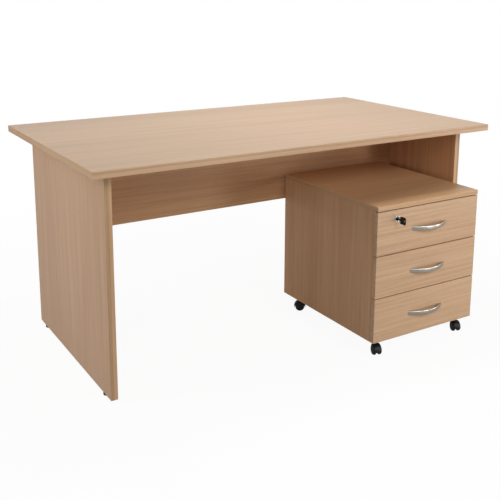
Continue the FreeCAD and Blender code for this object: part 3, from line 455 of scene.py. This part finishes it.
def lathe(profile, origin, axis, count, ripple=None, flutes=0):
    # each profile point is (radius, height along the axis); a row of points is one turn about the axis
    profile = np.asarray(profile, float)
    axis = np.asarray(axis, float) / np.linalg.norm(axis)
    side = np.cross(axis, (0, 0, 1) if abs(axis[2]) < 0.9 else (1, 0, 0))
    side = side / np.linalg.norm(side)
    other = np.cross(axis, side)
    angle = fullTurn(count)
    radius = np.repeat(profile[:, :1], count, axis=1)
    if ripple is not None:
        radius = radius - ripple[:, None] * (0.5 + 0.5 * np.cos(flutes * angle))[None, :]
    ring = np.cos(angle)[:, None] * side + np.sin(angle)[:, None] * other
    return np.asarray(origin) + radius[:, :, None] * ring + profile[:, 1][:, None, None] * axis


def arc(centre, radius, first, last, count):
    # points of a circle's arc in the profile plane, angles in degrees
    angle = np.radians(np.linspace(first, last, count))
    return np.stack([centre[0] + radius * np.cos(angle), centre[1] + radius * np.sin(angle)], axis=1)


# castors: twin wheels with dished faces, and a hood with a waisted neck over them

castor = {
    "wheelRadius": 0.017,
    "wheelInner": 0.0055,
    "wheelOuter": 0.015,
    "treadEdge": 0.0015,
    "treadSoft": 0.0004,
    "shoulder": 0.005,
    "shoulderSteps": 10,
    "dishRim": 0.0113,
    "dishOuter": 0.0106,
    "dishInner": 0.0072,
    "dishDepth": 0.0009,
    "capRim": 0.0066,
    "capDrop": 0.0002,
    "capFlat": 0.0045,
    "wheelSteps": 48,
    "axleRadius": 0.003,
    "rodSteps": 24,
    "hoodInner": 0.0190,
    "hoodWall": 0.0025,
    "hoodHalf": 0.0118,
    "hoodEdge": 0.15,
    "hoodPower": 0.7,
    "hoodReach": 8,  # degrees below the axle
    "archSteps": 40,
    "crownSteps": 15,
    "underSteps": 8,
    "webHalf": 0.004,
    "webDrop": 0.010,
    "webTaper": 0.82,
    "webSteps": 64,
    "neckRadius": 0.009,
    "neckWaist": ((1.12, 0.0325), (1.02, 0.038), (0.98, 0.042)),
    "neckSoft": ((0.0, 0.0012), (0.0008, 0.0002)),
    "neckTop": 0.0472,
    "neckSteps": 40,
    "stemRadius": 0.004,
    "stemSink": 0.0005,
    "stemTop": 0.0525,
}
corners = ("front_left", "front_right", "back_left", "back_right")


def wheelProfile():
    # inner face, tread, a quarter-round shoulder, then a dished face with a raised hub cap
    radius, inner, outer = castor["wheelRadius"], castor["wheelInner"], castor["wheelOuter"]
    edge, soft, shoulder = castor["treadEdge"], castor["treadSoft"], castor["shoulder"]
    sunk = outer - castor["dishDepth"]
    tread = [(0, inner), (radius - edge, inner), (radius - soft, inner + soft), (radius, inner + edge)]
    turnOver = arc((radius - shoulder, outer - shoulder), shoulder, 0, 90, castor["shoulderSteps"])
    dish = [(castor["dishRim"], outer), (castor["dishOuter"], sunk), (castor["dishInner"], sunk)]
    cap = [(castor["capRim"], outer - castor["capDrop"]), (castor["capFlat"], outer), (0, outer)]
    return np.concatenate([tread, turnOver, dish, cap])


def rodProfile(radius, low, high):
    return [(0, low), (radius, low), (radius, high), (0, high)]


def hoodArch(hub, axle, ahead):
    # a rounded strap bent over the wheels: a thick half ring seen from the side
    reach, half, inner = castor["hoodReach"], castor["hoodHalf"], castor["hoodInner"]
    swing = np.radians(np.linspace(-reach, 180 + reach, castor["archSteps"]))
    lap = np.linspace(0, np.pi, castor["crownSteps"])
    edge = castor["hoodEdge"]
    rise = edge + (1 - edge) * np.sin(lap) ** castor["hoodPower"]
    crown = np.stack([half * np.cos(lap), inner + castor["hoodWall"] * rise], axis=1)
    level = np.linspace(-1, 1, castor["underSteps"])
    under = np.stack([level * half, np.full_like(level, inner)], axis=1)
    strap = np.concatenate([crown, under])
    spoke = np.cos(swing)[:, None] * ahead + np.sin(swing)[:, None] * upAxis
    return hub + strap[:, 0][None, :, None] * axle + strap[:, 1][None, :, None] * spoke[:, None, :]


def hoodWeb(hub, axle, ahead):
    # a plate between the wheels: a half round above the axle and a narrower half ellipse below it
    around = fullTurn(castor["webSteps"])
    above = np.sin(around) >= 0
    reach = castor["hoodInner"] + castor["hoodWall"] / 2
    wide = np.where(above, reach, castor["webTaper"] * reach) * np.cos(around)
    lift = np.where(above, reach, castor["webDrop"]) * np.sin(around)
    rim = hub + wide[:, None] * ahead + lift[:, None] * upAxis
    middle = np.repeat(hub[None, :], around.size, axis=0)
    half = castor["webHalf"] * axle
    return np.stack([middle - half, rim - half, rim + half, middle + half])


for corner in corners:
    turnJoint = joints[f"castor_{corner}_wheels_turn"]
    hub, axle = np.array(turnJoint["pos_m"]), np.array(turnJoint["axis"])
    axleProfile = rodProfile(castor["axleRadius"], -castor["wheelInner"], castor["wheelInner"])
    shells = [(lathe(wheelProfile(), hub, axle, castor["wheelSteps"]), False),
              (lathe(wheelProfile(), hub, -axle, castor["wheelSteps"]), False),
              (lathe(axleProfile, hub, axle, castor["rodSteps"]), False)]
    addPiece(f"castorWheels_{corner}", shells, "wheel", f"castor_{corner}_wheels",
             [f"castor_{corner}_wheels"])

    ahead = np.cross((0, 0, 1), axle)
    swivel = np.array(joints[f"castor_{corner}_swivel"]["pos_m"]) * (1, 1, 0)
    neckRadius, neckTop = castor["neckRadius"], castor["neckTop"]
    waist = [(neckRadius * flare, height) for flare, height in castor["neckWaist"]]
    rim = [(neckRadius - inward, neckTop - drop) for inward, drop in castor["neckSoft"]]
    neck = [(0, castor["neckWaist"][0][1]), *waist, *rim, (0, neckTop)]
    stem = rodProfile(castor["stemRadius"], neckTop - castor["stemSink"], castor["stemTop"])
    shells = [(hoodArch(hub, axle, ahead), False), (hoodWeb(hub, axle, ahead), False),
              (lathe(neck, swivel, (0, 0, 1), castor["neckSteps"]), False),
              (lathe(stem, swivel, (0, 0, 1), castor["rodSteps"]), False)]
    addPiece(f"castorHood_{corner}", shells, "black", f"castor_{corner}",
             [f"castor_{corner}_hood"])
print("castors made")


# levelling feet: a knurled pad on a stem; each edge is (how far in, how far from the pad's end)

foot = {
    "padRadius": 0.0125,
    "padHeight": 0.008,
    "lowEdge": ((0.0018, 0.0), (0.0006, 0.0005), (0.0, 0.0018)),
    "highEdge": ((0.0, 0.0022), (0.0006, 0.0006), (0.0020, 0.0)),
    "knurl": 0.0005,
    "flutes": 20,
    "rimShare": 0.9,
    "steps": 120,
    "stemRadius": 0.004,
    "stemTop": 0.036,
}

for corner in corners:
    node = f"levelling_foot_{corner}"
    low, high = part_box(node)
    place = ((low.x + high.x) / 2, (low.y + high.y) / 2, 0)
    radius, top = foot["padRadius"], foot["padHeight"]
    lowEdge = [(radius - inward, rise) for inward, rise in foot["lowEdge"]]
    highEdge = [(radius - inward, top - drop) for inward, drop in foot["highEdge"]]
    stem = [(foot["stemRadius"], top), (foot["stemRadius"], foot["stemTop"]), (0, foot["stemTop"])]
    profile = np.array([(0, 0), *lowEdge, *highEdge, *stem])
    onRim = (profile[:, 0] > foot["rimShare"] * radius) & (profile[:, 1] > 0) & (profile[:, 1] < top)
    knurl = np.where(onRim, foot["knurl"], 0)
    pad = lathe(profile, place, (0, 0, 1), foot["steps"], knurl, foot["flutes"])
    addPiece(f"levellingFoot_{corner}", [(pad, False)], "black", node, [node])
print("feet made")


# key: a moulded bow with a ring hole, and a notched blade
# the bow is a closed band of rounded section between the hole's circle and a squared-off outer circle

key = {
    "bowHalf": 0.0125,
    "bowThick": 0.004,
    "squareness": 6.0,
    "rimPower": 0.35,
    "facePower": 0.45,
    "holeRadius": 0.0025,
    "holeInset": 0.005,
    "bladeWidth": 0.007,
    "bladeThick": 0.0022,
    "bitDepth": 0.0012,
    "bitWaves": 900,
    "bitsFrom": -0.45,
    "outlineSteps": 72,
    "sectionSteps": 20,
    "bladeSteps": 60,
}

lowKey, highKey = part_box("key")
bowMiddle = np.array(((lowKey.x + highKey.x) / 2, lowKey.y + key["bowHalf"], (lowKey.z + highKey.z) / 2))
around = fullTurn(key["outlineSteps"])
flatRing = np.stack([np.zeros_like(around), np.cos(around), np.sin(around)], axis=1)
edge = bowMiddle + key["bowHalf"] * bulge(flatRing, 2 / key["squareness"])
hole = bowMiddle + np.array((0, key["holeInset"] - key["bowHalf"], 0)) + key["holeRadius"] * flatRing
section = fullTurn(key["sectionSteps"])
outward = 0.5 + 0.5 * bulge(np.cos(section), key["rimPower"])
sideways = key["bowThick"] / 2 * bulge(np.sin(section), key["facePower"])[:, None] * np.array((1.0, 0, 0))
bow = hole[None] + outward[:, None, None] * (edge - hole)[None] + sideways[:, None, :]
addPiece("keyBow", [(bow, True)], "bow", "key", ["key"])

run = np.linspace(bowMiddle[1], highKey.y, key["bladeSteps"])
notched = 0.5 + 0.5 * np.sign(np.sin((run - highKey.y) * key["bitWaves"]))
bits = key["bitDepth"] * notched * (run > key["bitsFrom"])
bladeEdges = []
for sideSign, heightSign in ((-1, -1), (1, -1), (1, 1), (-1, 1)):
    across = np.full_like(run, bowMiddle[0] + sideSign * key["bladeThick"] / 2)
    height = np.full_like(run, bowMiddle[2] + heightSign * key["bladeWidth"] / 2)
    bladeEdges.append(np.stack([across, run, height + bits * (heightSign < 0)], axis=1))
# the blade is steel darkened as painted shade beside the bow
addPiece("keyBlade", [(np.stack(bladeEdges, axis=1), False)], "steelDarkForShade", "key")
print("key made")


# handles: a bow strap whose section is a rounded oblong, lower at the ends
# the strap lies between an outer and an inner circular arc, and its height falls along a third arc

handle = {
    "length": 0.152,
    "reach": 0.028,
    "thick": 0.0045,
    "leastThick": 0.0008,
    "foot": 0.013,
    "height": 0.0146,
    "endHeight": 0.0132,
    "squareness": 3.4,
    "lengthSteps": 61,
    "sectionSteps": 32,
}


def sagArc(x, half, rise):
    # how far an arc of this half chord and rise stands off its chord at x
    radius = (half ** 2 + rise ** 2) / (2 * rise)
    return np.sqrt(np.maximum(radius ** 2 - x ** 2, 0)) - (radius - rise)


def handleStrap():
    half = handle["length"] / 2
    innerHalf = half - handle["foot"]
    x = half * np.sin(np.linspace(-np.pi / 2, np.pi / 2, handle["lengthSteps"]))
    outer = sagArc(x, half, handle["reach"])
    inner = np.where(np.abs(x) < innerHalf, sagArc(x, innerHalf, handle["reach"] - handle["thick"]), 0)
    stout = np.maximum((outer - inner) / 2, handle["leastThick"] / 2)
    tall = handle["endHeight"] / 2 + sagArc(x, half, (handle["height"] - handle["endHeight"]) / 2)
    middle = np.maximum((outer + inner) / 2, stout)
    around = fullTurn(handle["sectionSteps"])
    power = 2 / handle["squareness"]
    depth = -middle[:, None] + stout[:, None] * bulge(np.cos(around), power)[None, :]
    height = tall[:, None] * bulge(np.sin(around), power)[None, :]
    return np.stack([np.repeat(x[:, None], around.size, axis=1), depth, height], axis=-1)


for drawer in ("top", "middle", "bottom"):
    node = f"drawer_{drawer}_handle"
    low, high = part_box(node)
    place = np.array(((low.x + high.x) / 2, high.y, (low.z + high.z) / 2))
    strap = handleStrap() + place
    addPiece(f"handle_{drawer}", [(strap, False)], "nickel", f"drawer_{drawer}", [node])
print("handles made")


# cam discs: a cross recess sunk in the face of each disc

camDisc = {
    "radius": 0.0075,
    "depth": 0.0125,
    "crossWidth": 0.0022,
    "crossReach": 0.0055,
    "crossDepth": 0.0014,
    "panelInset": 0.078,
    "lowInset": 0.048,
    "highInset": 0.050,
    "fromEdge": 0.034,
    "rings": 22,
    "steps": 72,
}


def camShell(place, normal):
    # rings of points from the middle of the face to its rim, down the wall and to the middle of the far side
    rings = np.linspace(0, camDisc["radius"], camDisc["rings"])
    around = fullTurn(camDisc["steps"])
    across, upward = rings[:, None] * np.cos(around), rings[:, None] * np.sin(around)
    arm = np.minimum(np.abs(across), np.abs(upward)) < camDisc["crossWidth"] / 2
    sunk = np.where(arm & (rings[:, None] < camDisc["crossReach"]), -camDisc["crossDepth"], 0.0)
    rows = np.stack([across, upward, sunk], axis=-1)
    far = rows[-1] * (1, 1, 0) - (0, 0, camDisc["depth"])
    shell = np.concatenate([rows, far[None], (far * (0, 0, 1))[None]])
    normal = np.asarray(normal, float)
    side = np.cross(normal, (0, 0, 1))
    return place + shell[..., :1] * side + shell[..., 1:2] * upAxis + shell[..., 2:] * normal


lowPanel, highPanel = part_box("left_end_panel")
lowModesty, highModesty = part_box("modesty_panel")
inset = camDisc["panelInset"]
camDepths = (lowPanel.y + inset, (lowPanel.y + highPanel.y) / 2, highPanel.y - inset)
camHeights = (lowModesty.z + camDisc["lowInset"], highModesty.z - camDisc["highInset"])
discs = []
for sign in (-1, 1):
    innerFace = sign * abs(highPanel.x)
    for y in camDepths:
        place = np.array((innerFace, y, highPanel.z - camDisc["fromEdge"]))
        discs.append((camShell(place, (-sign, 0, 0)), False))
    for z in camHeights:
        place = np.array((innerFace - sign * camDisc["fromEdge"], highModesty.y, z))
        discs.append((camShell(place, (0, 1, 0)), False))
addPiece("camDiscs", discs, "zinc", "desk", ["desk_cam_discs"])
print("cam discs made")


# lock: a ring with a rolled lip round the plug; the mouth is (how far out from the bore, how deep)

lock = {
    "ringRadius": 0.011,
    "tubeRadius": 0.0095,
    "bore": 0.0066,
    "mouth": ((0.0, 0.0008), (0.0005, 0.0002), (0.0012, 0.0)),
    "lip": 0.002,
    "lipRound": 0.0012,
    "lipSteps": 8,
    "steps": 64,
}

lowLock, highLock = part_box("lock_barrel")
lockPlace = ((lowLock.x + highLock.x) / 2, lowLock.y, (lowLock.z + highLock.z) / 2)
barrelDepth = highLock.y - lowLock.y
mouth = [(lock["bore"] + outward, deep) for outward, deep in lock["mouth"]]
ringRadius, tubeRadius, lipRound = lock["ringRadius"], lock["tubeRadius"], lock["lipRound"]
roll = arc((ringRadius - lipRound, lipRound), lipRound, -90, 0, lock["lipSteps"])
tube = [(ringRadius, lock["lip"]), (tubeRadius, lock["lip"]), (tubeRadius, barrelDepth)]
barrel = np.concatenate([[(lock["bore"], barrelDepth), *mouth], roll, tube])
ring = lathe(barrel, lockPlace, (0, 1, 0), lock["steps"])
addPiece("lockRing", [(ring, True)], "chrome", "drawer_top", ["lock_barrel"])
print("lock made")


# studio: white surroundings for the camera and for reflections, softer light on the object

studio = {
    "ambient": 0.04,
    "glossy": 1.0,
    "floorSize": 30.0,
    "floorWhite": 0.94,
    "floorFade": (1.0, 2.6),
    "floorMirrored": 0.30,
    "floorBounce": 0.42,
    "floorShown": 0.95,
}
lamps = {  # place, aim, size, power
    "topLamp": ((0.28, 0.12, 2.1), (0.25, 0.20, 0.7), 0.6, 13.8),
    "leftLamp": ((-3.4, 0.9, 1.8), (-0.6, 0.0, 0.5), 2.0, 51),
    "leftFrontLamp": ((-2.4, -3.0, 2.6), (0.1, 0.0, 0.5), 2.0, 27),
    "sideLamp": ((-3.2, -1.9, 0.9), (0.1, -0.2, 0.4), 0.9, 12.5),
    "frontLamp": ((0.5, -3.4, 2.4), (0.3, -0.3, 0.4), 1.2, 46),
    "lowFrontLamp": ((1.6, -3.3, 0.42), (0.2, -0.2, 0.45), 0.8, 24),
    "rightLamp": ((2.4, -1.8, 0.4), (0.4, -0.45, 0.3), 0.9, 13),
    "backLamp": ((-0.4, 3.2, 0.5), (0.0, 0.2, 0.4), 0.9, 36),
    "farSideLamp": ((3.6, 0.4, 1.2), (0.7, 0.0, 0.4), 1.4, 30),
}


def areaLamp(name, place, target, size, power):
    lamp = bpy.data.lights.new(name, "AREA")
    lamp.shape = "DISK"
    lamp.size = size
    lamp.energy = power
    holder = bpy.data.objects.new(name, lamp)
    holder.visible_camera = False
    holder.visible_glossy = name != "backLamp"  # from low in front it would flare on the panels
    aim = (Vector(target) - Vector(place)).to_track_quat("-Z", "Y")
    holder.matrix_world = Matrix.Translation(place) @ aim.to_matrix().to_4x4()
    bpy.context.scene.collection.objects.link(holder)


for name, (place, target, size, power) in lamps.items():
    areaLamp(name, place, target, size, power)

world = bpy.data.worlds.new("studioWhite")
world.use_nodes = True
bpy.context.scene.world = world
worldTree = world.node_tree
worldShade = worldTree.nodes["Background"]
worldRays = addNode(worldTree, "ShaderNodeLightPath")
worldMirror = mathNode(worldTree, "MULTIPLY", worldRays.outputs["Is Glossy Ray"], studio["glossy"])
worldShown = mathNode(worldTree, "MAXIMUM", worldRays.outputs["Is Camera Ray"], worldMirror)
worldStrength = mathNode(worldTree, "MAXIMUM", worldShown, studio["ambient"])
worldTree.links.new(worldStrength, worldShade.inputs["Strength"])
worldShade.inputs["Color"].default_value = (1, 1, 1, 1)

# floor: the camera sees its own white, with a little matt floor in it for the shadow that fades out far away

floorHalf = studio["floorSize"] / 2
floorSigns = ((-1, -1), (1, -1), (1, 1), (-1, 1))
floorMesh = bpy.data.meshes.new("floor")
floorMesh.from_pydata([(x * floorHalf, y * floorHalf, 0) for x, y in floorSigns], [], [(0, 1, 2, 3)])
floor = bpy.data.objects.new("floor", floorMesh)
bpy.context.scene.collection.objects.link(floor)
floorPaint = bpy.data.materials.new("floorWhite")
floorPaint.use_nodes = True
floorTree = floorPaint.node_tree
floorTree.nodes.remove(floorTree.nodes["Principled BSDF"])
floorRays = addNode(floorTree, "ShaderNodeLightPath")
floorCamera = floorRays.outputs["Is Camera Ray"]
floorGlow = addNode(floorTree, "ShaderNodeEmission", {"Color": (1, 1, 1, 1), "Strength": 1.0})
floorMatt = addNode(floorTree, "ShaderNodeBsdfDiffuse")
bounceTone = (*[studio["floorBounce"]] * 3, 1)
shownTone = (*[studio["floorShown"]] * 3, 1)
floorTone = mixColour(floorTree, "MIX", floorCamera, bounceTone, shownTone)
floorTree.links.new(floorTone, floorMatt.inputs["Color"])
away = addNode(floorTree, "ShaderNodeVectorMath", operation="LENGTH")
floorTree.links.new(objectPlace(floorTree), away.inputs[0])
fadeStart, fadeEnd = studio["floorFade"]
fade = addNode(floorTree, "ShaderNodeMapRange",
               {"From Min": fadeStart, "From Max": fadeEnd, "To Min": studio["floorWhite"], "To Max": 1.0})
floorTree.links.new(away.outputs["Value"], fade.inputs["Value"])
floorSeen = mathNode(floorTree, "MULTIPLY", floorCamera, fade.outputs["Result"])
floorMirror = mathNode(floorTree, "MULTIPLY", floorRays.outputs["Is Glossy Ray"], studio["floorMirrored"])
floorMix = addNode(floorTree, "ShaderNodeMixShader")
floorShare = mathNode(floorTree, "MAXIMUM", floorSeen, floorMirror)
feed(floorTree, floorMix.inputs, (floorShare, floorMatt.outputs[0], floorGlow.outputs[0]))
floorTree.links.new(floorMix.outputs[0], floorTree.nodes["Material Output"].inputs["Surface"])
floorMesh.materials.append(floorPaint)
print("studio lit")


# camera at the photograph's viewing angle, lengths in metres, angles in radians

shot = {
    "place": (-1.45761, -2.31613, 1.20853),
    "yaw": 0.5542,
    "pitch": 0.2054,
    "roll": 0.0055,
    "focalPixels": 793.07,
    "centrePixel": (256.0, 152.0),
    "imagePixels": 500,
    "sensor": 36.0,
}
lens = bpy.data.cameras.new("camera")
lens.sensor_width = shot["sensor"]
lens.lens = shot["focalPixels"] / shot["imagePixels"] * shot["sensor"]
lens.shift_x = 0.5 - shot["centrePixel"][0] / shot["imagePixels"]
lens.shift_y = shot["centrePixel"][1] / shot["imagePixels"] - 0.5
yaw, pitch, roll = shot["yaw"], shot["pitch"], shot["roll"]
forward = Vector((math.sin(yaw) * math.cos(pitch), math.cos(yaw) * math.cos(pitch), -math.sin(pitch)))
levelSide = Vector((math.cos(yaw), -math.sin(yaw), 0))
levelUp = levelSide.cross(forward)
cameraSide = math.cos(roll) * levelSide + math.sin(roll) * levelUp
cameraUp = -math.sin(roll) * levelSide + math.cos(roll) * levelUp
cameraTurn = Matrix((cameraSide, cameraUp, -forward)).transposed().to_4x4()
camera = bpy.data.objects.new("camera", lens)
camera.matrix_world = Matrix.Translation(shot["place"]) @ cameraTurn
bpy.context.scene.collection.objects.link(camera)
bpy.context.scene.camera = camera
bpy.context.scene.view_settings.view_transform = "Standard"
print("camera placed")
